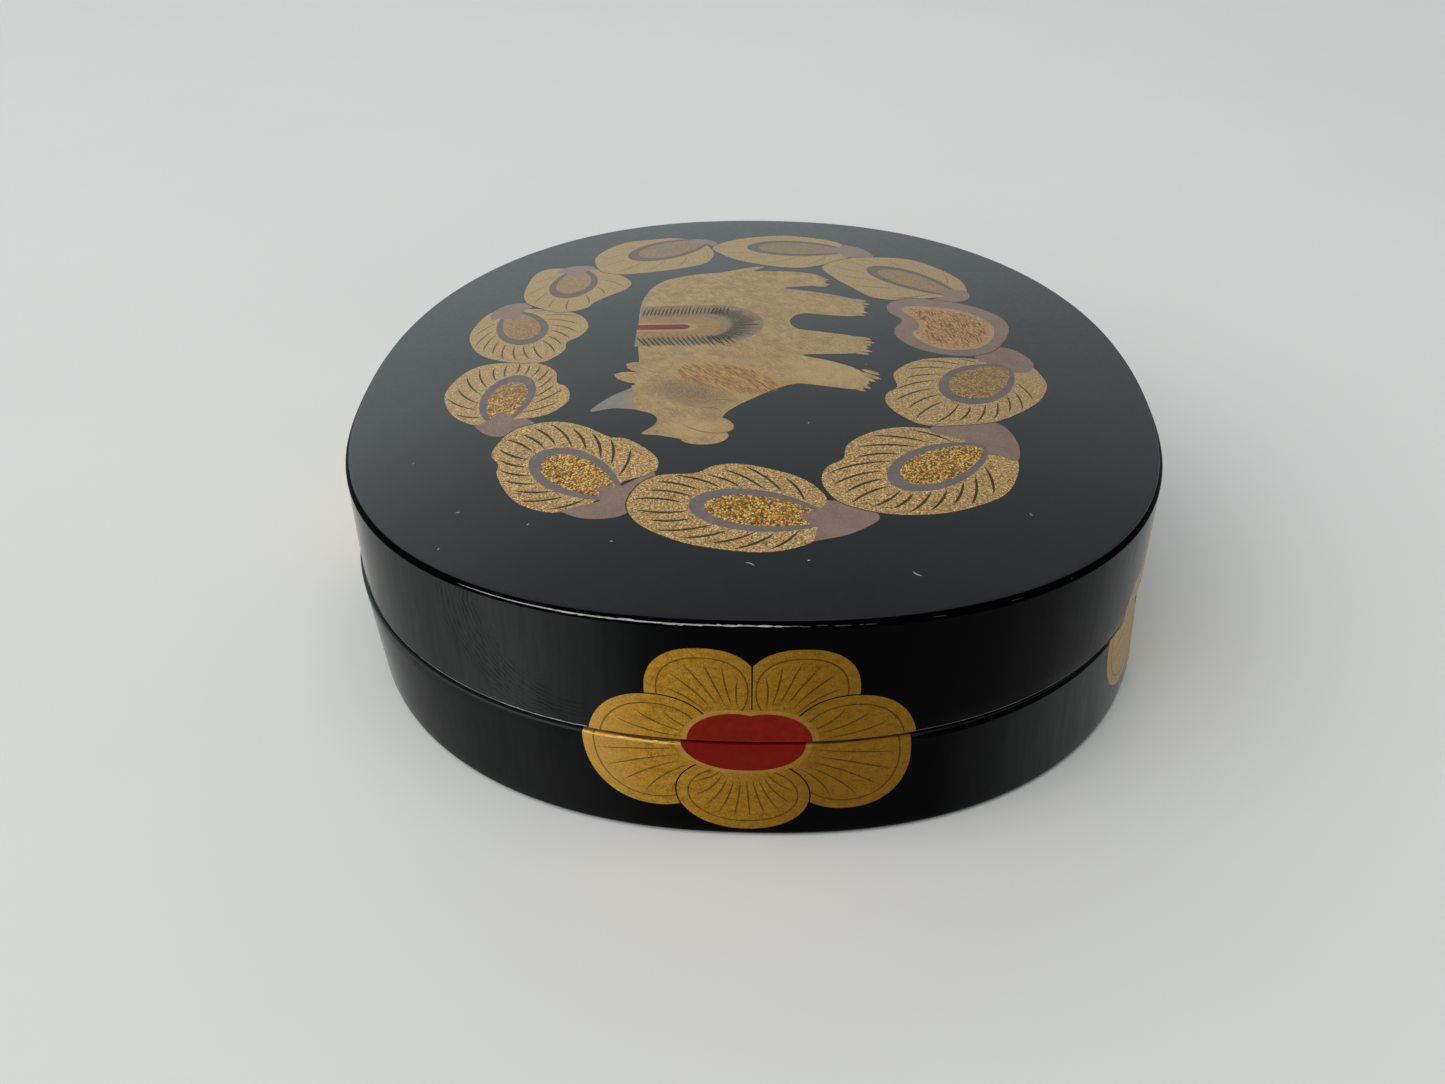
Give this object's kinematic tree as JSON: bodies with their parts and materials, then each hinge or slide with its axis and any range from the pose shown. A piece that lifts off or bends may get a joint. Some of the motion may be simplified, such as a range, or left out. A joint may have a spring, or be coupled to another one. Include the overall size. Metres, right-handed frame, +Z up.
{
  "type": "incense box",
  "caption": "Low rounded square incense box in black lacquer with a domed lid that lifts off a raised lip, a gold flower wreath and beast on the lid and gold flowers across the seam.",
  "frame": {"origin": "middle of the flat underside, on the surface the box stands on", "axes": "+Z up, -Y towards the picture's viewer, +X to the viewer's right"},
  "size_m": [0.0806, 0.08, 0.0272],
  "materials": {
    "box_lacquer": "turned and carved wood under glossy black lacquer, with flowers in gold and red lacquer across the seam",
    "lid_lacquer": "wood under satin black lacquer, with a painted wreath and a horned beast in gold powder, grey and red"
  },
  "bodies": {
    "root": {"box": "box_lacquer", "lid": "lid_lacquer"}
  },
  "joints": []
}
